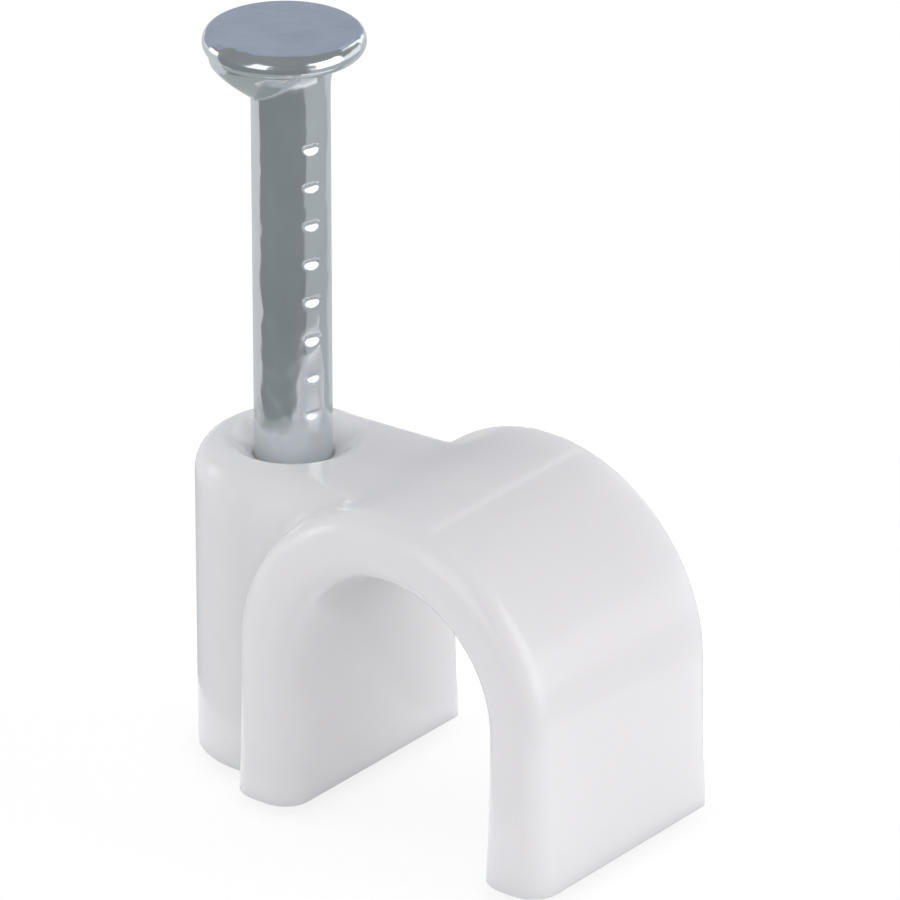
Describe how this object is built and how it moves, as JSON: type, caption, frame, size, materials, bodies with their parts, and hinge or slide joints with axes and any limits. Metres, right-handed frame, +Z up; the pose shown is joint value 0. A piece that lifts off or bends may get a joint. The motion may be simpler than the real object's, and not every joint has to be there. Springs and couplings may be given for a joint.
{
  "type": "nail-in cable clip",
  "caption": "White moulded saddle clip for a round cable, with a flat-headed steel nail standing in its side boss ready to be driven into a wall.",
  "frame": {"origin": "on the nail's axis, in the plane of the wall face", "axes": "+Z up the nail away from the wall, +X from the nail towards the cable, +Y along the cable to the clip's sharper end"},
  "size_m": [0.0126, 0.0066, 0.0188],
  "materials": {
    "clip_plastic": "white polyethylene, soft gloss",
    "nail_steel": "bright zinc plating"
  },
  "bodies": {
    "clip": {"clip_body": "clip_plastic"},
    "nail": {"nail": "nail_steel"}
  },
  "joints": [
    {"name": "nail_drive", "type": "slide", "parent": "clip", "child": "nail", "axis": [0, 0, -1], "range_m": [0, 0.0094]}
  ]
}
